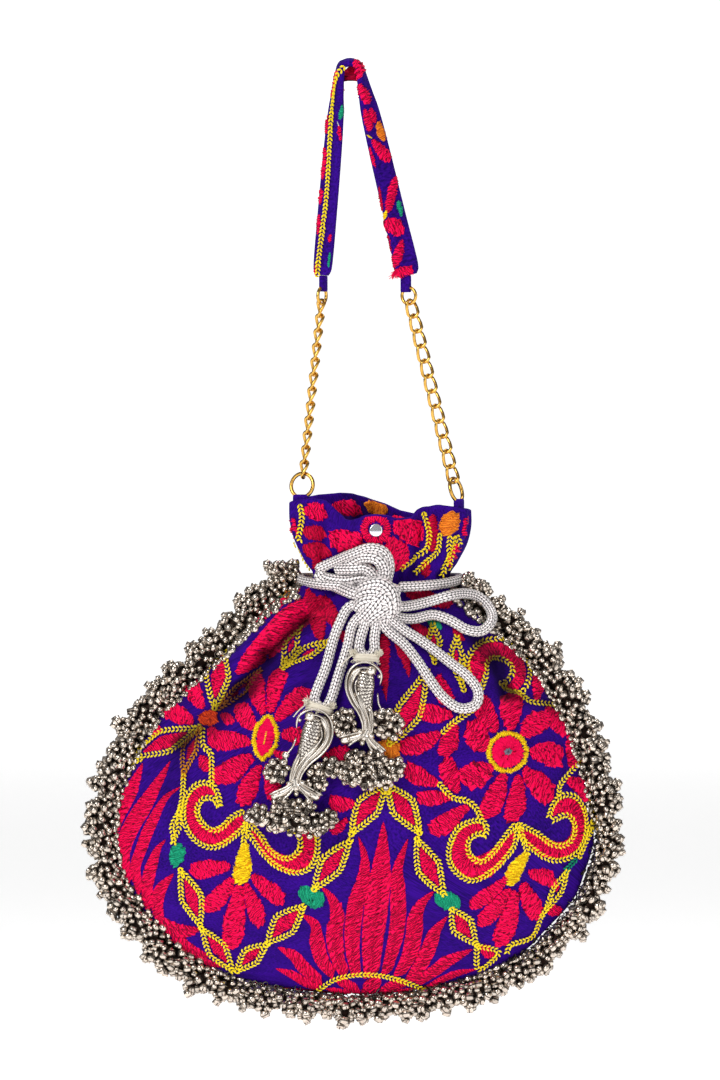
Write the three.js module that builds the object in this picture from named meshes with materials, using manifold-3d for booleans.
// A drawstring pouch bag hanging by its handle: an embroidered fabric pouch edged with bunches
// of small metal bells, drawn in at the neck by a knitted cord that is tied in a bow, with a
// cast charm on each cord end, and a handle of fabric strap and two curb chains.
// Millimetres, +Z up, front towards -Y. The origin is the inside top of the handle's strap,
// where a peg or a hand carries the bag.
import * as THREE from "three";
import { mergeVertices } from "three/addons/utils/BufferGeometryUtils.js";
import Module from "manifold-3d";

const wasm = await Module();
wasm.setup();

// Pouch sizes
const bodyWidth = 212; // seam to seam
const bodyHeight = 183.7; // bottom seam to neck
const bodyDepth = 76; // front to back
const neckWidth = 59;
const neckDepth = 32;
const mouthWidth = 79;
const mouthDepth = 46;
const mouthHeight = 34.5; // at the left end of the rim
const rimFrontDip = 8.5; // how far the middle of the front rim drops
const rimRightDrop = 3; // how much lower the rim's right end is
const neckShift = 13; // the neck sits to the right of the body's middle
const fabricWall = 1.8;
const neckDrop = 226.5; // from the origin down to the neck
const pleatCount = 6;
const pleatDepth = 4.6;
const pleatTurn = 268; // degrees round the neck to the middle of the front pleat

// Trim sizes
const bunchSpacing = 11.6;
const bunchWidth = 13.6; // from its sewn edge outwards
const bunchThickness = 14;
const bunchWaist = 0.72; // size between two bunches, as a share of a bunch's own
const trimGap = 0.6; // from the seam out to the sewn edge
const trimTopX = -23; // the free upper left end of the trim
const trimTopZ = -220;

// Handle sizes
const strapWidth = 10.5;
const strapThickness = 3.6;
const strapDropLeft = 92.5;
const strapDropRight = 92.5;
const strapSpreadLeft = 12.4;
const strapSpreadRight = 26;
const pegRadius = 3;
const mouthRingWidth = 12.4;
const mouthRingWire = 1.7;
const strapRingWidth = 8.8;
const strapRingWire = 1.5;
const tabThickness = 2.6;
const mouthTabWidth = 7.5;
const strapTabWidth = 5;
const linkWire = 1.5;
const linkWidth = 6;
const linkPitch = 6.6;
const linkTwist = 90; // degrees from one end of a curb link to the other
const linkFuse = 0.5; // how far linked wires press into each other

// Drawstring and charm sizes
const cordWidth = 4.6;
const knotWidth = 20;
const knotHeight = 19;
const knotThickness = 12;
const charmHeight = 41;
const charmWidth = 15.5;
const charmThickness = 4.4;
const bindingWidth = 11.6;
const bindingHeight = 7.6;
const mirrorWidth = 5.6;
const mirrorThickness = 0.7;

const clearance = 0.3; // between pieces that touch on the real bag
const degrees = Math.PI / 180;

// Sections of the pouch from the bottom seam up to the neck. height is a share of bodyHeight,
// width and depth are shares of bodyWidth and bodyDepth, shift is a share of neckShift,
// seam is how sharp the side seams are and pleat is a share of pleatDepth.
const bodySections = [
  { height: 0, width: 0.06, depth: 0.012, shift: 0, seam: 1, pleat: 0 },
  { height: 0.007, width: 0.26, depth: 0.07, shift: -0.35, seam: 1, pleat: 0 },
  { height: 0.02, width: 0.45, depth: 0.14, shift: -0.68, seam: 1, pleat: 0 },
  { height: 0.055, width: 0.65, depth: 0.26, shift: -0.48, seam: 1, pleat: 0 },
  { height: 0.103, width: 0.778, depth: 0.4, shift: -0.38, seam: 1, pleat: 0 },
  { height: 0.152, width: 0.853, depth: 0.52, shift: -0.3, seam: 1, pleat: 0 },
  { height: 0.224, width: 0.935, depth: 0.68, shift: -0.2, seam: 1, pleat: 0 },
  { height: 0.296, width: 0.981, depth: 0.81, shift: -0.07, seam: 1, pleat: 0.03 },
  { height: 0.368, width: 1, depth: 0.9, shift: 0.1, seam: 1, pleat: 0.07 },
  { height: 0.465, width: 0.973, depth: 0.98, shift: 0.32, seam: 1, pleat: 0.13 },
  { height: 0.561, width: 0.912, depth: 1, shift: 0.6, seam: 1, pleat: 0.24 },
  { height: 0.658, width: 0.83, depth: 0.96, shift: 0.84, seam: 1, pleat: 0.4 },
  { height: 0.754, width: 0.718, depth: 0.87, shift: 1.02, seam: 0.9, pleat: 0.6 },
  { height: 0.826, width: 0.612, depth: 0.77, shift: 1.07, seam: 0.75, pleat: 0.74 },
  { height: 0.899, width: 0.49, depth: 0.64, shift: 1, seam: 0.5, pleat: 0.82 },
  { height: 0.956, width: 0.37, depth: 0.51, shift: 0.93, seam: 0.2, pleat: 0.76 },
];

// Sections from the neck up to the rim. height is a share of mouthHeight and spread runs from
// the neck's size at 0 to the mouth's size at 1.
const mouthSections = [
  { height: 0, spread: 0, pleat: 0.62 },
  { height: 0.24, spread: 0.4, pleat: 0.72 },
  { height: 0.5, spread: 0.8, pleat: 0.86 },
  { height: 0.76, spread: 0.98, pleat: 0.98 },
  { height: 1, spread: 1, pleat: 1 },
];

// Creases pressed into the front. The places are shares of half the body's width and of its
// height, and width and depth are millimetres.
const creases = [
  { fromX: -0.34, fromUp: 0.84, toX: -0.78, toUp: 0.58, width: 7, depth: 7 },
  { fromX: -0.78, fromUp: 0.58, toX: -0.72, toUp: 0.34, width: 7, depth: 3.5 },
  { fromX: -0.2, fromUp: 0.82, toX: -0.26, toUp: 0.6, width: 6, depth: 5 },
  { fromX: 0.5, fromUp: 0.86, toX: 0.72, toUp: 0.66, width: 8, depth: 6 },
  { fromX: 0.72, fromUp: 0.66, toX: 0.92, toUp: 0.64, width: 6, depth: 4 },
  { fromX: 0.24, fromUp: 0.9, toX: 0.3, toUp: 0.74, width: 5, depth: 4 },
];

// Routes of the drawstring, from the knot out and back to it. right and up are millimetres
// from the knot's middle, and off is the gap from the pouch's front to the cord's middle.
const cordRoutes = {
  cord_loop_upper: [
    { right: 4, up: 0, off: 7 },
    { right: 10, up: -1.4, off: 6.6 },
    { right: 16, up: -0.8, off: 5.2 },
    { right: 23.4, up: 1, off: 4.4 },
    { right: 31, up: 3.2, off: 4 },
    { right: 38, up: 4.2, off: 4 },
    { right: 44.6, up: 2.6, off: 4 },
    { right: 49.4, up: -2.6, off: 3.8 },
    { right: 50, up: -8, off: 3.6 },
    { right: 45.6, up: -12.2, off: 3.4 },
    { right: 39, up: -11.6, off: 3.2 },
    { right: 31.4, up: -7.4, off: 3.2 },
    { right: 24, up: -5.2, off: 3.2 },
    { right: 16, up: -6.8, off: 3.4 },
    { right: 10, up: -6.4, off: 5 },
    { right: 4, up: -4, off: 6.6 },
  ],
  cord_loop_lower: [
    { right: 0, up: -5.6, off: 4.6 },
    { right: 4.4, up: -12, off: 3.8 },
    { right: 11.4, up: -18, off: 3.2 },
    { right: 17.4, up: -25.6, off: 3.2 },
    { right: 22.6, up: -33.4, off: 3.2 },
    { right: 28.4, up: -41, off: 3.2 },
    { right: 35.6, up: -46, off: 3.2 },
    { right: 42.6, up: -44.6, off: 3.2 },
    { right: 43.8, up: -38.6, off: 3.2 },
    { right: 39.2, up: -32, off: 3.2 },
    { right: 31, up: -25.6, off: 3.2 },
    { right: 24.4, up: -20.4, off: 3.4 },
    { right: 17.6, up: -15.6, off: 3.8 },
    { right: 11.4, up: -11.8, off: 5 },
    { right: 5, up: -6.6, off: 6.6 },
  ],
  cord_loop_left: [
    { right: 2, up: 3, off: 6 },
    { right: 4, up: 10.4, off: 4 },
    { right: 5, up: 17, off: 3.2 },
    { right: 2.4, up: 22.6, off: 3.2 },
    { right: -4, up: 24.2, off: 3.2 },
    { right: -12, up: 21.4, off: 3.2 },
    { right: -20, up: 18, off: 3.2 },
    { right: -27.4, up: 14.6, off: 3.2 },
  ],
  cord_tail_left: [
    { right: -5, up: 0, off: 6 },
    { right: -12.6, up: -1.6, off: 5 },
    { right: -16.6, up: -8, off: 3.4 },
    { right: -19.8, up: -16.5, off: 3.2 },
    { right: -22.9, up: -27.9, off: 3.2 },
    { right: -27, up: -38.4, off: 3.2 },
    { right: -27.8, up: -42.8, off: 3.6 },
    { right: -24.6, up: -46, off: 3.8 },
    { right: -21, up: -42.6, off: 3.6 },
    { right: -17.2, up: -31, off: 3.2 },
    { right: -13.6, up: -19.5, off: 3.2 },
    { right: -11.2, up: -9.6, off: 3.6 },
    { right: -6, up: -3.6, off: 6 },
  ],
  cord_tail_short: [
    { right: -4, up: -3, off: 5 },
    { right: -6, up: -9.6, off: 3.4 },
    { right: -7.8, up: -15.8, off: 3.2 },
    { right: -8.1, up: -20.4, off: 3.4 },
    { right: -4.8, up: -23.6, off: 3.6 },
    { right: -1.7, up: -20.4, off: 3.4 },
    { right: -1.7, up: -15.4, off: 3.2 },
    { right: -0.9, up: -9.8, off: 3.4 },
    { right: 0, up: -4, off: 5 },
  ],
};

// Where each charm hangs: its top from the knot's middle, its lean in degrees and the side
// its curved back is on.
const charmPlaces = {
  left: { right: -26.6, up: -49.4, lean: -14, side: -1, sides: [-0.72, 0.44], spread: 0.9 },
  short: { right: -5.4, up: -27, lean: 1, side: 1, sides: [-0.48, 0.66], spread: 0.8 },
};

// Bell bunches on a charm. across is a share of charmWidth and down of charmHeight. width and
// height are half sizes in millimetres. The fan's bunches spread by the charm's own spread, and
// a side bunch stands at the charm's own side.
const fanBunches = [
  { across: -1, down: 1.12, width: 4.9, height: 6.2 },
  { across: -0.5, down: 1.13, width: 5.4, height: 6.8 },
  { across: 0, down: 1.14, width: 5.4, height: 6.8 },
  { across: 0.5, down: 1.13, width: 5.4, height: 6.8 },
  { across: 1, down: 1.12, width: 4.9, height: 6.2 },
];
const sideBunch = { down: 0.68, width: 5, height: 6.8 };
const sideHook = { down: 0.53, wire: 1.6 }; // the jump ring that a side bunch hangs from
const bunchHalfThickness = 4.6;

// Bindings round the cord ends, from the knot's middle.
const bindingPlaces = {
  left: { right: -24.5, up: -43, lean: -16 },
  short: { right: -4.7, up: -20.8, lean: 0 },
};

const colours = {
  ground: 0x3a0a8c,
  bells: 0xb5a89c,
  cord: 0xd9d2de,
  thread: 0xe9e2d6,
  charm: 0xb8afa6,
  gold: 0xd9a93a,
  mirror: 0xdfe3e8,
};

function material(colour, metalness, roughness) {
  return new THREE.MeshStandardMaterial({ color: colour, metalness, roughness });
}

const fabric = material(colours.ground, 0, 0.85);
const bellMetal = material(colours.bells, 0.9, 0.35);
const knittedCord = material(colours.cord, 0.3, 0.6);
const bindingThread = material(colours.thread, 0, 0.9);
const charmMetal = material(colours.charm, 0.9, 0.3);
const goldMetal = material(colours.gold, 1, 0.25);
const mirrorGlass = material(colours.mirror, 1, 0.1);

// A closed geometry as a solid that can be joined and cut.
function solidOf(geometry, matrix = new THREE.Matrix4()) {
  const bare = geometry.clone().applyMatrix4(matrix);
  bare.deleteAttribute("normal");
  bare.deleteAttribute("uv");
  const merged = mergeVertices(bare, 1e-4);
  return new wasm.Manifold(
    new wasm.Mesh({
      numProp: 3,
      vertProperties: merged.attributes.position.array,
      triVerts: new Uint32Array(merged.index.array),
    }),
  );
}

function geometryOf(solid) {
  const mesh = solid.getMesh();
  const geometry = new THREE.BufferGeometry();
  geometry.setAttribute("position", new THREE.BufferAttribute(mesh.vertProperties, 3));
  geometry.setIndex(new THREE.BufferAttribute(mesh.triVerts, 1));
  return geometry;
}

function union(solids) {
  return solids.reduce((whole, solid) => whole.add(solid));
}

// The largest connected part of a solid that was cut.
function largest(solid) {
  return solid.decompose().sort((a, b) => b.volume() - a.volume())[0];
}

// A closed skin over rings of points. The first and last rings close in a middle point.
function skin(rings) {
  const count = rings[0].length;
  const points = rings.flat();
  const middle = (ring) =>
    ring.reduce((sum, p) => sum.add(p), new THREE.Vector3()).divideScalar(ring.length);
  points.push(middle(rings[0]), middle(rings.at(-1)));
  const faces = [];
  for (let row = 0; row + 1 < rings.length; row++) {
    for (let i = 0; i < count; i++) {
      const next = (i + 1) % count;
      const [a, b] = [row * count + i, row * count + next];
      faces.push(a, b, b + count, a, b + count, a + count);
    }
  }
  const lastRow = (rings.length - 1) * count;
  for (let i = 0; i < count; i++) {
    const next = (i + 1) % count;
    faces.push(points.length - 2, next, i);
    faces.push(points.length - 1, lastRow + i, lastRow + next);
  }
  const geometry = new THREE.BufferGeometry().setFromPoints(points);
  geometry.setIndex(faces);
  return geometry;
}

function lump(centre, radii, turn = new THREE.Quaternion()) {
  const matrix = new THREE.Matrix4().compose(centre, turn, radii);
  return solidOf(new THREE.OctahedronGeometry(1, 1), matrix);
}

// Each section as real sizes: its height, middle, half width, half depth, seam and pleats.
function pouchRows() {
  const neckZ = -neckDrop;
  const body = bodySections.map((s) => ({
    z: neckZ - bodyHeight * (1 - s.height),
    middle: neckShift * s.shift,
    halfWidth: (bodyWidth * s.width) / 2,
    halfDepth: (bodyDepth * s.depth) / 2,
    seam: s.seam,
    pleat: pleatDepth * s.pleat,
    onRim: 0,
  }));
  const mouth = mouthSections.map((s) => ({
    z: neckZ + mouthHeight * s.height,
    middle: neckShift,
    halfWidth: (neckWidth + (mouthWidth - neckWidth) * s.spread) / 2,
    halfDepth: (neckDepth + (mouthDepth - neckDepth) * s.spread) / 2,
    seam: 0,
    pleat: pleatDepth * s.pleat,
    onRim: s.height,
  }));
  return [...body, ...mouth];
}

const rows = pouchRows();
const neckRow = bodySections.length;
const bottomZ = rows[0].z;

function creaseDepth(x, z) {
  let deepest = 0;
  for (const c of creases) {
    const from = new THREE.Vector2((c.fromX * bodyWidth) / 2, bottomZ + c.fromUp * bodyHeight);
    const to = new THREE.Vector2((c.toX * bodyWidth) / 2, bottomZ + c.toUp * bodyHeight);
    const along = to.clone().sub(from);
    const offset = new THREE.Vector2(x, z).sub(from);
    const share = THREE.MathUtils.clamp(offset.dot(along) / along.lengthSq(), 0, 1);
    const away = offset.sub(along.multiplyScalar(share)).length() / c.width;
    deepest = Math.max(deepest, c.depth * Math.exp(-away * away));
  }
  return deepest;
}

// A point of the pouch's outer face on one section, at an angle round it. 0 is the right seam
// and 270 degrees is the middle of the front.
function onRow(row, angle) {
  const pleat = row.pleat * Math.cos(pleatCount * (angle - pleatTurn * degrees));
  const side = Math.cos(angle);
  const front = Math.sin(angle);
  const sharp = 1 + 0.3 * row.seam;
  const x = row.middle + (row.halfWidth + pleat * (1 - row.seam * Math.abs(side))) * side;
  const fullness = Math.sign(front) * Math.abs(front) ** sharp;
  const dent = front < 0 && row.onRim === 0 ? creaseDepth(x, row.z) * Math.abs(front) : 0;
  const y = (row.halfDepth + pleat) * fullness + dent;
  const dip = front < 0 ? rimFrontDip * front ** 4 : 0;
  const drop = dip + (rimRightDrop * (1 + side)) / 2;
  return new THREE.Vector3(x, y, row.z - row.onRim * drop);
}

const pouchColumns = 36;

function outerRings() {
  const angles = Array.from({ length: pouchColumns }, (_, i) => (i / pouchColumns) * 2 * Math.PI);
  return rows.map((row) => angles.map((angle) => onRow(row, angle)));
}

// The outward direction at each point of the rings.
function outwardAt(rings, row, i) {
  const ring = rings[row];
  const round = ring[(i + 1) % ring.length].clone().sub(ring.at(i - 1));
  const above = rings[Math.min(row + 1, rings.length - 1)][i];
  const rising = above.clone().sub(rings[Math.max(row - 1, 0)][i]);
  return round.cross(rising).normalize();
}

function moved(rings, row, distance) {
  return rings[row].map((p, i) => p.clone().addScaledVector(outwardAt(rings, row, i), distance));
}

// The pouch as a wall with an open mouth. extra thickens it on both faces, to cut what lies
// against it.
function pouchShell(extra = 0) {
  const rings = outerRings();
  const outside = rings.map((_, row) => moved(rings, row, extra));
  const innerRows = rings.map((_, row) => row).filter((row) => row > 1 && row % 2 === 0);
  const inside = innerRows.reverse().map((row) => moved(rings, row, -fabricWall - extra));
  const rim = outside.at(-1).map((p) => p.clone().setZ(p.z + extra));
  outside[outside.length - 1] = rim;
  return skin([...outside, ...inside]);
}

const pouch = pouchShell();
const aroundPouch = solidOf(pouchShell(clearance));

function clearOfPouch(solid) {
  return largest(solid.subtract(aroundPouch));
}

// One of the two panels that are sewn together along the side seam.
function panel(side) {
  const across = 2 * bodyWidth;
  const block = new THREE.BoxGeometry(across, across, 2 * across);
  block.translate(0, -side * (across / 2 - clearance / 2), bottomZ);
  return largest(solidOf(pouch).subtract(solidOf(block)));
}

// The y of the pouch's front face at a place seen from the front.
function frontAt(x, z) {
  const above = Math.max(1, rows.findIndex((row) => row.z >= z));
  const [low, high] = [rows[above - 1], rows[above]];
  const share = THREE.MathUtils.clamp((z - low.z) / (high.z - low.z), 0, 1);
  const depthOn = (row) => {
    const across = THREE.MathUtils.clamp((x - row.middle) / row.halfWidth, -0.98, 0.98);
    return onRow(row, 2 * Math.PI - Math.acos(across)).y;
  };
  return THREE.MathUtils.lerp(depthOn(low), depthOn(high), share);
}

// The frontmost y of the pouch within a cord's width of a place, so that what lies there
// rides over small dents.
function frontAround(x, z) {
  const reach = cordWidth / 2;
  const near = [-reach, 0, reach].flatMap((dx) => [-reach, 0, reach].map((dz) => [dx, dz]));
  return Math.min(...near.map(([dx, dz]) => frontAt(x + dx, z + dz)));
}

// The side seam, down the left edge, along the bottom and up the right edge.
function seamCurve() {
  const body = rows.slice(0, neckRow);
  const edge = (row, side) => new THREE.Vector3(row.middle + side * row.halfWidth, 0, row.z);
  const left = body.slice(1).reverse().map((row) => edge(row, -1));
  const right = body.slice(1).map((row) => edge(row, 1));
  const top = new THREE.Vector3(trimTopX, 0, trimTopZ);
  const bottom = new THREE.Vector3(body[0].middle, 0, body[0].z);
  return new THREE.CatmullRomCurve3([top, ...left, bottom, ...right]);
}

// One run of bell bunches along the seam, between two shares of its length: a tube that swells
// at each bunch and narrows between them.
function trimRun(from, to) {
  const seam = seamCurve();
  const count = Math.round(((to - from) * seam.getLength()) / bunchSpacing);
  const sway = [1, 1.08, 0.96, 1.12, 1.02];
  const sides = 6;
  const rings = [];
  for (let k = 0; k <= 3 * count; k++) {
    const isEnd = k === 0 || k === 3 * count;
    const full = sway[Math.floor(k / 3) % sway.length];
    const size = k % 3 ? full : bunchWaist * (isEnd ? 0.75 : 1);
    const inset = isEnd ? clearance / seam.getLength() : 0;
    const at = from + ((to - from) * k) / (3 * count) + (k === 0 ? inset : -inset);
    const along = seam.getTangentAt(at);
    const outward = new THREE.Vector3(along.z, 0, -along.x);
    const back = new THREE.Vector3(0, 1, 0);
    const halfWidth = (bunchWidth * size) / 2;
    const centre = seam.getPointAt(at).addScaledVector(outward, trimGap + halfWidth);
    rings.push(
      Array.from({ length: sides }, (_, i) => {
        const angle = (i / sides) * 2 * Math.PI;
        return centre
          .clone()
          .addScaledVector(outward, halfWidth * Math.cos(angle))
          .addScaledVector(back, (bunchThickness * size * Math.sin(angle)) / 2);
      }),
    );
  }
  return clearOfPouch(solidOf(skin(rings)));
}

// A round ring standing along Z, its plane turned from the front by an angle in degrees.
function ring(width, wire, turned, grow = 0) {
  const geometry = new THREE.TorusGeometry((width - wire) / 2, wire / 2 + grow, 6, 12);
  return geometry.rotateX(90 * degrees).rotateZ(turned * degrees);
}

// A curb link standing along Z: a ring drawn out to an oval, then twisted end to end.
function link(length, turn) {
  const geometry = new THREE.TorusGeometry((linkWidth - linkWire) / 2, linkWire / 2, 5, 10);
  geometry.rotateZ(180 / 10 * degrees);
  geometry.rotateX(90 * degrees);
  const place = geometry.attributes.position;
  const twist = (linkTwist * degrees) / (length - linkWire);
  for (let i = 0; i < place.count; i++) {
    const p = new THREE.Vector3().fromBufferAttribute(place, i);
    p.z += (Math.sign(p.z) * (length - linkWidth)) / 2;
    p.applyAxisAngle(new THREE.Vector3(0, 0, 1), turn + twist * p.z);
    place.setXYZ(i, p.x, p.y, p.z);
  }
  return geometry;
}

// The links between two ring wires a distance apart, fused where they press together.
function chain(distance, ringWire, turn) {
  const count = Math.round(distance / linkPitch);
  const seat = mouthRingWire / 2 + ringWire / 2 + 2 * clearance;
  const inner = (distance + seat - (count - 1) * linkFuse) / count;
  const length = inner + 2 * linkWire;
  const links = [];
  for (let k = 0; k < count; k++) {
    const z = inner / 2 - mouthRingWire / 2 - clearance + k * (inner + linkFuse);
    links.push(solidOf(link(length, turn).translate(0, 0, z)));
  }
  return union(links);
}

// A ribbon folded round a wire at the origin, hanging down from it or standing up.
function ribbon(width, height, turned, upward) {
  const block = new THREE.BoxGeometry(width, tabThickness, height).rotateZ(turned * degrees);
  return block.translate(0, 0, (upward ? 1 : -1) * (height / 2 - tabThickness / 2));
}

// Places along the handle.
const rimRow = rows.at(-1);
const mouthTabHeight = 11;
const strapTabHeight = 6.5;

// The handle's two ends. tabAngle is where the mouth tab stands, in degrees round the rim, and
// mouthTurn and strapTurn are the rings' planes, turned from the front.
const handleEnds = {
  left: { side: -1, tabAngle: 214, mouthTurn: -26, strapTurn: 60 },
  right: { side: 1, tabAngle: 334, mouthTurn: 62, strapTurn: -35 },
};

// A ring's middle above the rim at an angle, its tab inside the wall.
function mouthRingPlace(angle) {
  const rim = onRow(rimRow, angle);
  const along = onRow(rimRow, angle + 0.03).sub(onRow(rimRow, angle - 0.03)).setZ(0).normalize();
  const tuck = fabricWall + tabThickness / 2 + 2;
  const lift = mouthRingWidth / 2 + tabThickness / 2;
  return rim.add(new THREE.Vector3(-along.y * tuck, along.x * tuck, lift));
}

function strapRingPlace(side) {
  const drop = side < 0 ? strapDropLeft : strapDropRight;
  const spread = side < 0 ? strapSpreadLeft : strapSpreadRight;
  const wireDepth = strapTabHeight - tabThickness / 2 + (strapRingWidth - strapRingWire) / 2;
  return new THREE.Vector3(side * spread, 0, -drop - wireDepth - clearance);
}

// Everything at one end of the handle, modelled along Z from the mouth ring and then turned
// to the line between the two rings.
function handleSide(name) {
  const { side, tabAngle, mouthTurn, strapTurn } = handleEnds[name];
  const low = mouthRingPlace(tabAngle * degrees);
  const line = strapRingPlace(side).sub(low);
  const lowRadius = (mouthRingWidth - mouthRingWire) / 2;
  const highRadius = (strapRingWidth - strapRingWire) / 2;
  const group = new THREE.Group();
  group.position.copy(low);
  group.quaternion.setFromUnitVectors(new THREE.Vector3(0, 0, 1), line.clone().normalize());
  group.updateMatrixWorld(true);
  const add = (part, geometry, surface) => {
    const mesh = new THREE.Mesh(geometry, surface);
    mesh.name = `${part}_${name}`;
    group.add(mesh);
    return mesh;
  };
  add("ring_mouth", ring(mouthRingWidth, mouthRingWire, mouthTurn), goldMetal);
  const strapRing = add("ring_strap", ring(strapRingWidth, strapRingWire, strapTurn), goldMetal);
  strapRing.position.z = line.length();
  const run = line.length() - lowRadius - highRadius;
  const firstTurn = (mouthTurn + 90 + linkTwist / 2) * degrees;
  const links = add("chain", geometryOf(chain(run, strapRingWire, firstTurn)), goldMetal);
  links.position.z = lowRadius;

  const inGroup = (solid) =>
    geometryOf(solid).applyMatrix4(group.matrixWorld.clone().invert());
  const lifted = (z) => group.matrixWorld.clone().multiply(new THREE.Matrix4().setPosition(0, 0, z));
  const grownLow = solidOf(ring(mouthRingWidth, mouthRingWire, mouthTurn, clearance), lifted(0));
  const foot = new THREE.Vector3(0, 0, -lowRadius).applyMatrix4(group.matrixWorld);
  const upright = new THREE.Matrix4().setPosition(foot);
  const hanging = solidOf(ribbon(mouthTabWidth, mouthTabHeight, mouthTurn, false), upright);
  add("tab_mouth", inGroup(clearOfPouch(hanging.subtract(grownLow))), fabric);

  const grownHigh = ring(strapRingWidth, strapRingWire, strapTurn, clearance);
  const standing = solidOf(
    ribbon(strapTabWidth, strapTabHeight, strapTurn, true),
    lifted(line.length() + highRadius),
  );
  const strapBelow = solidOf(strap(), new THREE.Matrix4().setPosition(0, 0, -clearance));
  const folded = standing.subtract(solidOf(grownHigh, lifted(line.length()))).subtract(strapBelow);
  add("tab_strap", inGroup(largest(folded)), fabric);
  return group;
}

// Stations along the strap from its left end over the peg to its right end. share is how far
// down the strand, turn is how far its face has turned to the front, in degrees, and width is
// a share of strapWidth.
const strapStations = [
  { side: -1, share: 1, turn: 52, width: 0.62 },
  { side: -1, share: 0.95, turn: 52, width: 0.94 },
  { side: -1, share: 0.7, turn: 50, width: 1 },
  { side: -1, share: 0.4, turn: 46, width: 1 },
  { side: -1, share: 0.2, turn: 36, width: 1 },
  { side: -1, share: 0.1, turn: 22, width: 1 },
  { side: 1, share: 0.1, turn: 30, width: 1 },
  { side: 1, share: 0.2, turn: 48, width: 1 },
  { side: 1, share: 0.4, turn: 60, width: 1 },
  { side: 1, share: 0.7, turn: 68, width: 1 },
  { side: 1, share: 0.95, turn: 72, width: 1.04 },
  { side: 1, share: 1, turn: 72, width: 0.7 },
];

function strapPlace(side, share) {
  const end = strapRingPlace(side);
  const bend = pegRadius + strapThickness / 2;
  const drop = side < 0 ? strapDropLeft : strapDropRight;
  const x = side * bend + (end.x - side * bend) * share;
  return new THREE.Vector3(x, 0, -pegRadius - (drop - pegRadius) * share);
}

// The strap: rounded sections that pass over the peg with their width along it, and turn
// their face to the front further down.
function strap() {
  const bend = pegRadius + strapThickness / 2;
  const onPeg = [150, 120, 90, 60, 30].map((angle) => ({
    centre: new THREE.Vector3(
      bend * Math.cos(angle * degrees),
      0,
      bend * Math.sin(angle * degrees) - pegRadius,
    ),
    turn: 8,
    width: 1,
  }));
  const strand = strapStations.map((s) => ({ ...s, centre: strapPlace(s.side, s.share) }));
  const half = strapStations.length / 2;
  const stations = [...strand.slice(0, half), ...onPeg, ...strand.slice(half)];
  const corners = [
    [0.5, 0.2], [0.36, 0.5], [-0.36, 0.5], [-0.5, 0.2],
    [-0.5, -0.2], [-0.36, -0.5], [0.36, -0.5], [0.5, -0.2],
  ];
  const rings = stations.map((station, i) => {
    const before = stations[Math.max(i - 1, 0)].centre;
    const after = stations[Math.min(i + 1, stations.length - 1)].centre;
    const along = after.clone().sub(before).normalize();
    const across = new THREE.Vector3(0, 1, 0).applyAxisAngle(along, station.turn * degrees);
    const outward = along.clone().cross(across);
    return corners.map(([w, t]) =>
      station.centre
        .clone()
        .addScaledVector(across, w * strapWidth * station.width)
        .addScaledVector(outward, t * strapThickness),
    );
  });
  return skin(rings);
}

// The knot sits on the front of the neck.
const knotRight = -0.6; // from the neck's middle
const knotDown = 11; // below the neck
const knotX = neckShift + knotRight;
const knotZ = -neckDrop - knotDown;
const knotY = frontAround(knotX, knotZ) - knotThickness / 2 - clearance;

// The band starts at the knot's right side and ends at its left, in degrees round the neck.
const bandFrom = 283;
const bandTo = 360 + 253;
const bandSag = 4; // how much lower it lies in front

function knot(grow = 0) {
  const radii = new THREE.Vector3(knotWidth, knotThickness, knotHeight).divideScalar(2);
  radii.addScalar(grow);
  const matrix = new THREE.Matrix4().compose(
    new THREE.Vector3(knotX, knotY, knotZ),
    new THREE.Quaternion(),
    radii,
  );
  return solidOf(new THREE.IcosahedronGeometry(1, 1), matrix);
}

// A round cord along points.
function cord(points, steps, grow = 0) {
  const sides = 8;
  const outline = Array.from({ length: sides }, (_, i) => {
    const angle = (i / sides) * 2 * Math.PI;
    const radius = cordWidth / 2 + grow;
    return new THREE.Vector2(radius * Math.cos(angle), radius * Math.sin(angle));
  });
  return new THREE.ExtrudeGeometry(new THREE.Shape(outline), {
    steps,
    extrudePath: new THREE.CatmullRomCurve3(points),
    bevelEnabled: false,
  });
}

function routePoints(name) {
  return cordRoutes[name].map(({ right, up, off }) => {
    const [x, z] = [knotX + right, knotZ + up];
    return new THREE.Vector3(x, frontAround(x, z) - off, z);
  });
}

const grownKnot = knot(clearance);

function looseCord(name, grow = 0) {
  const steps = cordRoutes[name].length + 3;
  const tube = solidOf(cord(routePoints(name), steps, grow));
  return clearOfPouch(tube.subtract(grownKnot));
}

// The part of the drawstring that is drawn round the neck, from one side of the knot round
// the back to the other.
function neckBand() {
  const row = rows[neckRow];
  const steps = 18;
  const lift = row.pleat + cordWidth / 2 + 2.5 * clearance;
  const points = [];
  for (let k = 0; k <= steps; k++) {
    const angle = (bandFrom + ((bandTo - bandFrom) * k) / steps) * degrees;
    const x = row.middle + (row.halfWidth + lift) * Math.cos(angle);
    const y = (row.halfDepth + lift) * Math.sin(angle);
    points.push(new THREE.Vector3(x, y, row.z - bandSag * Math.max(0, -Math.sin(angle))));
  }
  return clearOfPouch(solidOf(cord(points, steps)).subtract(grownKnot));
}

function charmFrame(place) {
  const [x, z] = [knotX + place.right, knotZ + place.up];
  const middleZ = z - charmHeight * 0.6;
  const y = Math.min(frontAround(x, middleZ), frontAround(x, z)) - charmThickness / 2 - 2.6;
  const group = new THREE.Group();
  group.position.set(x, y, z);
  group.rotation.y = -place.lean * degrees;
  group.updateMatrixWorld(true);
  return group;
}

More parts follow.
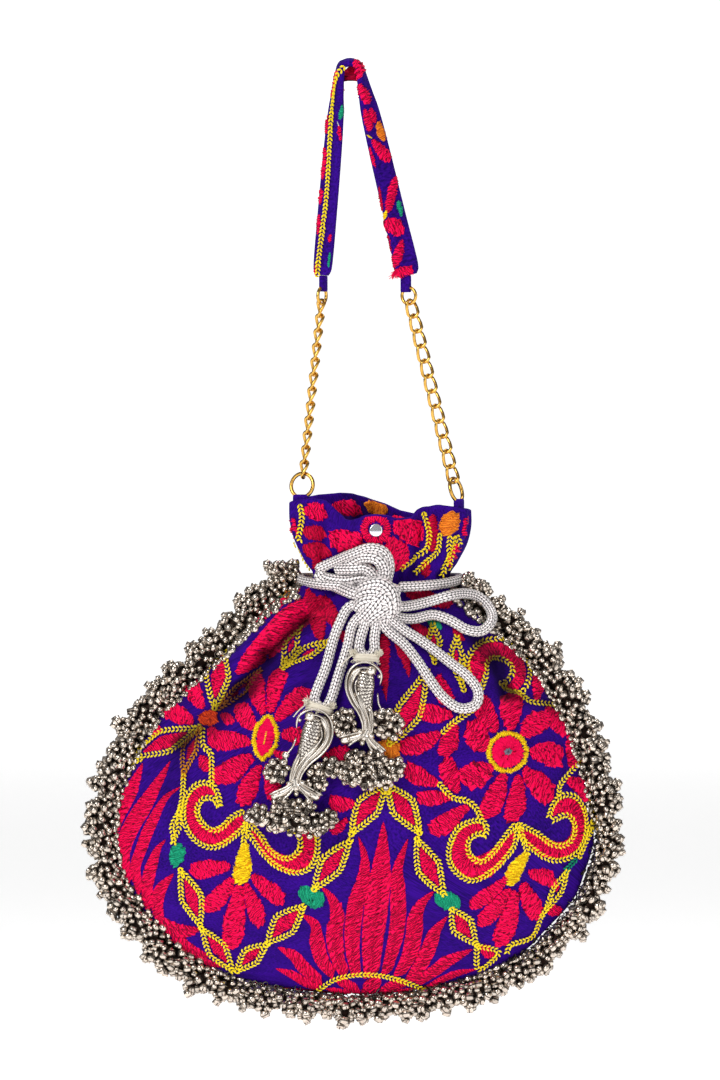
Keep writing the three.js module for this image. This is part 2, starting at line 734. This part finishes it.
// The cast charm: a bird's rounded body whose tail sweeps down to a stem and opens in a skirt.
function charmBody(side, grow = 0) {
  const w = charmWidth * side;
  const h = -charmHeight;
  const outline = new THREE.Shape();
  outline.moveTo(w * 0.1, h * 0.02);
  outline.quadraticCurveTo(w * 0.42, h * 0.04, w * 0.46, h * 0.22);
  outline.quadraticCurveTo(w * 0.46, h * 0.4, w * 0.2, h * 0.58);
  outline.quadraticCurveTo(w * 0.1, h * 0.68, w * 0.18, h * 0.8);
  outline.quadraticCurveTo(w * 0.3, h * 0.87, w * 0.56, h * 0.92);
  outline.lineTo(w * 0.5, h * 0.98);
  outline.lineTo(-w * 0.48, h * 0.98);
  outline.lineTo(-w * 0.54, h * 0.92);
  outline.quadraticCurveTo(-w * 0.22, h * 0.87, -w * 0.12, h * 0.78);
  outline.quadraticCurveTo(-w * 0.14, h * 0.58, -w * 0.36, h * 0.42);
  outline.quadraticCurveTo(-w * 0.52, h * 0.28, -w * 0.44, h * 0.12);
  outline.quadraticCurveTo(-w * 0.3, h * 0.02, w * 0.1, h * 0.02);
  const bevel = charmThickness * 0.24;
  const geometry = new THREE.ExtrudeGeometry(outline, {
    depth: charmThickness - 2 * bevel + 2 * grow,
    bevelSize: grow,
    bevelThickness: bevel,
    bevelOffset: 0,
    bevelSegments: 1,
    curveSegments: 3,
  });
  geometry.translate(0, 0, -charmThickness / 2 + bevel - grow);
  return geometry.rotateX(90 * degrees);
}

function bellLumps(bunches) {
  const lumps = bunches.map((b) => {
    const centre = new THREE.Vector3(b.across * charmWidth, 0, -b.down * charmHeight);
    return lump(centre, new THREE.Vector3(b.width, bunchHalfThickness, b.height));
  });
  return union(lumps);
}

// A side bunch with its jump ring, reaching in to the charm's waist.
function sideBells(across) {
  const bunch = bellLumps([{ ...sideBunch, across }]);
  const top = new THREE.Vector3(
    across * charmWidth,
    0,
    -sideBunch.down * charmHeight + sideBunch.height * 0.8,
  );
  const waist = new THREE.Vector3(0, 0, -sideHook.down * charmHeight);
  const along = waist.clone().sub(top);
  const rod = new THREE.CylinderGeometry(sideHook.wire / 2, sideHook.wire / 2, along.length(), 6);
  const up = new THREE.Vector3(0, 1, 0);
  const turn = new THREE.Quaternion().setFromUnitVectors(up, along.clone().normalize());
  const matrix = new THREE.Matrix4().compose(
    top.addScaledVector(along, 0.5),
    turn,
    new THREE.Vector3(1, 1, 1),
  );
  return bunch.add(solidOf(rod, matrix));
}

// Thread wound round a cord's end: a block with rounded edges, open where the cord runs in.
function binding(place, grownCord) {
  const [w, h, d] = [bindingWidth / 2, bindingHeight / 2, cordWidth / 2 + 2];
  const outline = new THREE.Shape();
  outline.moveTo(-w, -d * 0.4);
  outline.quadraticCurveTo(-w, -d, -w * 0.5, -d);
  outline.lineTo(w * 0.5, -d);
  outline.quadraticCurveTo(w, -d, w, -d * 0.4);
  outline.lineTo(w, d * 0.4);
  outline.quadraticCurveTo(w, d, w * 0.5, d);
  outline.lineTo(-w * 0.5, d);
  outline.quadraticCurveTo(-w, d, -w, d * 0.4);
  const block = new THREE.ExtrudeGeometry(outline, {
    depth: bindingHeight,
    bevelEnabled: false,
    curveSegments: 3,
  });
  block.translate(0, 0, -h);
  const [x, z] = [knotX + place.right, knotZ + place.up];
  const matrix = new THREE.Matrix4().makeRotationY(-place.lean * degrees);
  matrix.setPosition(x, frontAround(x, z) - cordWidth / 2 - 1.2, z);
  return clearOfPouch(solidOf(block, matrix).subtract(grownCord));
}

// A small round mirror sewn to the front of the mouth.
function mouthMirror() {
  const [x, z] = [11.4, -202.6 - mirrorWidth / 2];
  const disc = new THREE.CylinderGeometry(mirrorWidth / 2, mirrorWidth / 2, mirrorThickness, 12);
  const front = Math.min(frontAround(x, z), frontAround(x, z + 2));
  return disc.translate(x, front - mirrorThickness / 2 - clearance, z);
}

const reticule = new THREE.Group();
reticule.name = "reticule";

function place(name, geometry, surface, parent = reticule) {
  const mesh = new THREE.Mesh(geometry, surface);
  mesh.name = name;
  parent.add(mesh);
  return mesh;
}

place("pouch_front", geometryOf(panel(-1)), fabric);
place("pouch_back", geometryOf(panel(1)), fabric);
place("trim_left", geometryOf(trimRun(0, 0.5)), bellMetal);
place("trim_right", geometryOf(trimRun(0.5, 1)), bellMetal);
place("strap", strap(), fabric);
reticule.add(handleSide("left"), handleSide("right"));
place("cord_knot", geometryOf(clearOfPouch(knot())), knittedCord);
place("cord_band", geometryOf(neckBand()), knittedCord);
const laidCords = [];
for (const name of Object.keys(cordRoutes)) {
  const clearOfOthers = laidCords.reduce((solid, laid) => solid.subtract(laid), looseCord(name));
  place(name, geometryOf(largest(clearOfOthers)), knittedCord);
  laidCords.push(looseCord(name, clearance));
}
for (const [name, spot] of Object.entries(bindingPlaces)) {
  const grownTail = looseCord(`cord_tail_${name}`, 2 * clearance);
  place(`binding_${name}`, geometryOf(binding(spot, grownTail)), bindingThread);
}
for (const [name, spot] of Object.entries(charmPlaces)) {
  const frame = charmFrame(spot);
  const inPlace = (solid) => geometryOf(clearOfPouch(solidOf(geometryOf(solid), frame.matrixWorld)));
  place(`charm_${name}`, inPlace(solidOf(charmBody(spot.side))), charmMetal);
  const grownBody = solidOf(charmBody(spot.side, clearance));
  const offCharm = (bells) => inPlace(largest(bells.subtract(grownBody)));
  const fan = fanBunches.map((b) => ({ ...b, across: b.across * spot.spread }));
  place(`bells_${name}_fan`, offCharm(bellLumps(fan)), bellMetal);
  place(`bells_${name}_side_a`, offCharm(sideBells(spot.sides[0])), bellMetal);
  place(`bells_${name}_side_b`, offCharm(sideBells(spot.sides[1])), bellMetal);
}
place("mirror_mouth", mouthMirror(), mirrorGlass);

export default reticule;
